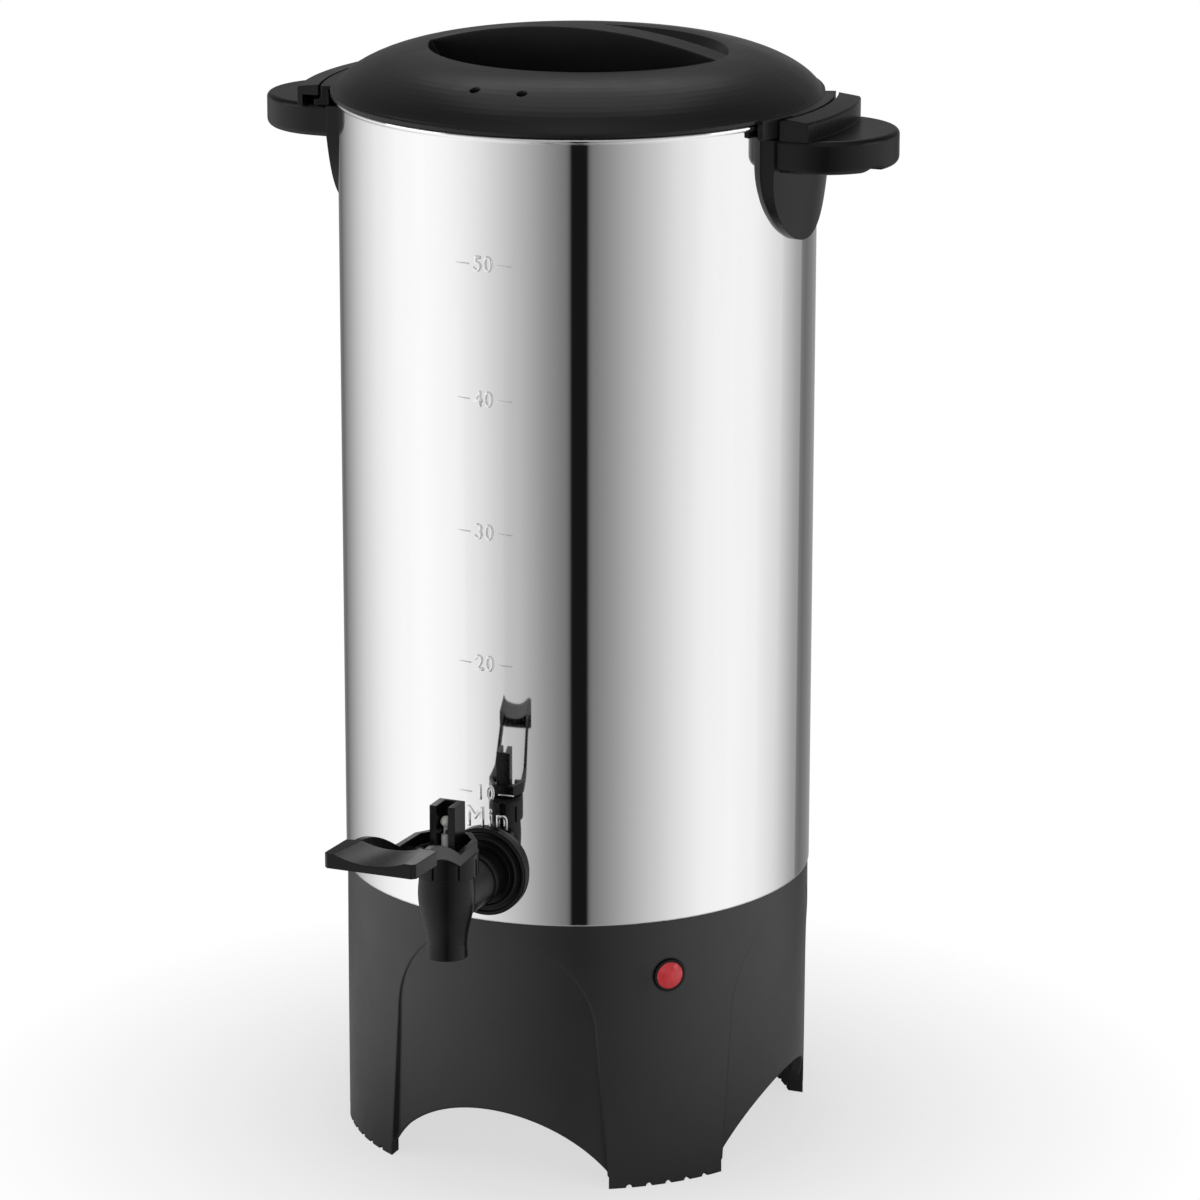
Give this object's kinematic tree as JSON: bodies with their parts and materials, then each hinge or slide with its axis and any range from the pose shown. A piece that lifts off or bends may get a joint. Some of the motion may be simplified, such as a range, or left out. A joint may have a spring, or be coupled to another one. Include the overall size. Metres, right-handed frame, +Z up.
{
  "type": "coffee urn",
  "caption": "Percolator coffee urn with a steel tank, plastic base, twist-lock lid, two handles and a lever tap.",
  "frame": {"origin": "on the tank's axis, at the level of the feet", "axes": "+Z up along the tank's axis, -Y towards the tap, +X and -X towards the handles"},
  "size_m": [0.266, 0.3023, 0.4538],
  "materials": {
    "polished_steel": "polished",
    "zinc_steel": "satin",
    "brushed_metal": "satin",
    "cast_aluminium": "satin",
    "base_plastic": "satin",
    "black_plastic": "satin",
    "lid_plastic": "satin",
    "pale_plastic": "satin",
    "pale_silicone": "satin",
    "dark_rubber": "matte",
    "red_lens": "glossy",
    "ceramic": "matte"
  },
  "bodies": {
    "root": {"tank": "polished_steel", "tank_studs": "zinc_steel", "tank_nuts": "zinc_steel", "base_housing": "base_plastic", "base_cover": "zinc_steel", "cover_screws": "zinc_steel", "heater_well": "polished_steel", "well_gasket": "pale_silicone", "ring_nut": "zinc_steel", "brew_heater": "cast_aluminium", "keep_warm_heater": "cast_aluminium", "thermostat": "ceramic", "thermal_fuse": "ceramic", "lamp_holder": "black_plastic", "lamp_lens": "red_lens", "lamp_clip": "zinc_steel", "inlet_socket": "black_plastic", "inlet_pins": "zinc_steel", "inlet_screws": "zinc_steel", "handle_right": "black_plastic", "handle_left": "black_plastic", "handle_screws": "zinc_steel", "tap_body": "black_plastic", "tap_rosette": "black_plastic", "tap_gasket": "dark_rubber", "tap_inner_washer": "pale_silicone", "tap_nut": "pale_plastic", "tap_bonnet": "black_plastic", "tap_spring": "zinc_steel"},
    "lid_seal": {"lid_seal": "pale_silicone"},
    "lid": {"lid": "lid_plastic"},
    "lever": {"tap_lever": "black_plastic"},
    "stem": {"tap_stem": "pale_silicone", "tap_seat_cup": "pale_silicone"},
    "pump": {"pump_base": "cast_aluminium", "pump_tube": "cast_aluminium"},
    "pump_washer": {"pump_washer": "polished_steel"},
    "basket": {"coffee_basket": "brushed_metal"},
    "basket_cover": {"basket_cover": "brushed_metal"}
  },
  "joints": [
    {"name": "lid_lift", "type": "slide", "parent": "root", "child": "lid_seal", "axis": [0, 0, 1], "range_m": [0, 0.12]},
    {"name": "lid_turn", "type": "hinge", "parent": "lid_seal", "child": "lid", "pos_m": [0, 0, 0.43], "axis": [0, 0, 1], "range_deg": [0, 32]},
    {"name": "lever_press", "type": "hinge", "parent": "root", "child": "lever", "pos_m": [0, -0.1425, 0.1536], "axis": [1, 0, 0], "range_deg": [0, 10], "stiffness_Nm_per_rad": 1, "springref_deg": -11.46},
    {"name": "stem_rise", "type": "slide", "parent": "root", "child": "stem", "axis": [0, 0, 1], "range_m": [0, 0.0019], "deforming": ["tap_spring"]},
    {"name": "pump_lift", "type": "slide", "parent": "root", "child": "pump", "axis": [0, 0, 1], "range_m": [0, 0.004]},
    {"name": "washer_rise", "type": "slide", "parent": "pump", "child": "pump_washer", "axis": [0, 0, 1], "range_m": [0, 0.002]},
    {"name": "basket_lift", "type": "slide", "parent": "pump", "child": "basket", "axis": [0, 0, 1], "range_m": [0, 0.004]},
    {"name": "cover_lift", "type": "slide", "parent": "basket", "child": "basket_cover", "axis": [0, 0, 1], "range_m": [0, 0.004]}
  ],
  "couplings": [
    {"joint": "stem_rise", "follows": "lever_press", "m_per_rad": 0.0106}
  ]
}
